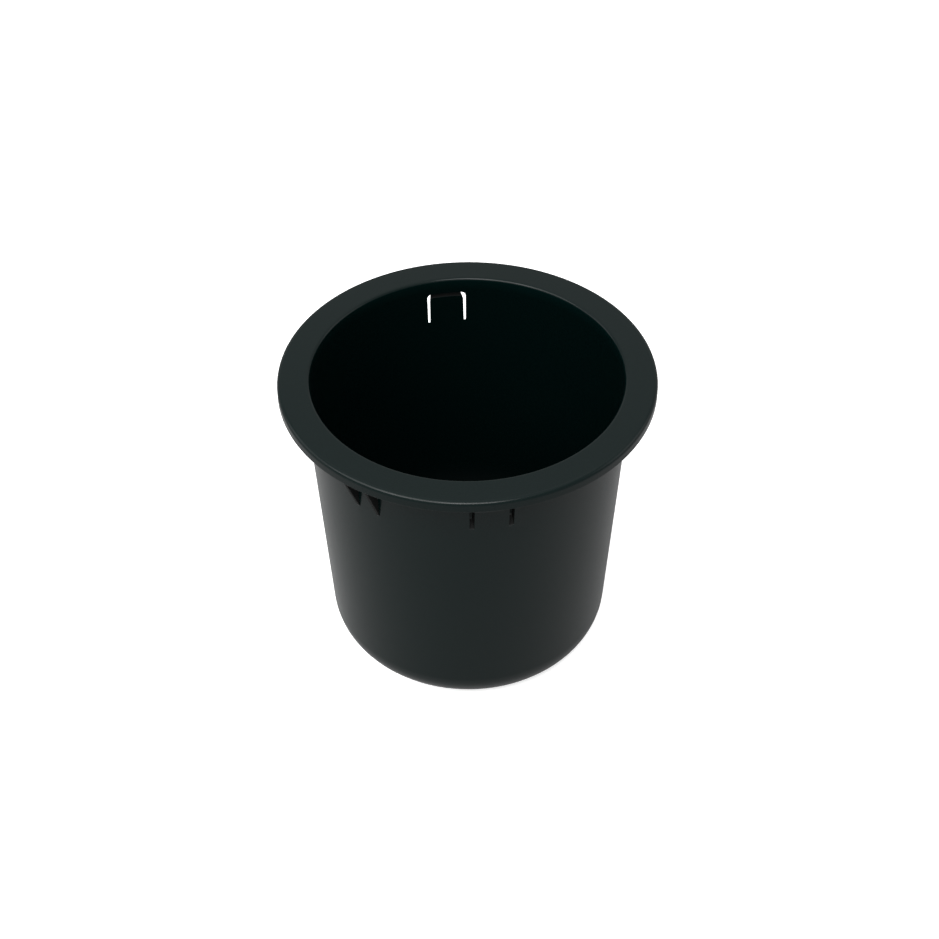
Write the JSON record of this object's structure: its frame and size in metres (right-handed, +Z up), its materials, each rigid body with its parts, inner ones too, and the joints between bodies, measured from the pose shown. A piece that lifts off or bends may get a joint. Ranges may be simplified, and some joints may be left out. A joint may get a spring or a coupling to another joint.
{
  "type": "car cup holder",
  "caption": "Round drop-in cup holder for a car console: a tapered plastic tub with a wide flat flange, spring fingers cut in its wall, and ribs that key it in the panel's hole.",
  "frame": {"origin": "centre of the foot ring, on the plane that the cup stands on", "axes": "+Z up along the cup's axis, out of its mouth; -Y is the front, which the picture shows; azimuths are counted from -Y towards +X, with a spring finger at 8.1 degrees"},
  "size_m": [0.1084, 0.1084, 0.097],
  "materials": {
    "black_plastic": "moulded black plastic with a fine satin grain"
  },
  "bodies": {
    "root": {"cup_holder": "black_plastic"}
  },
  "joints": []
}
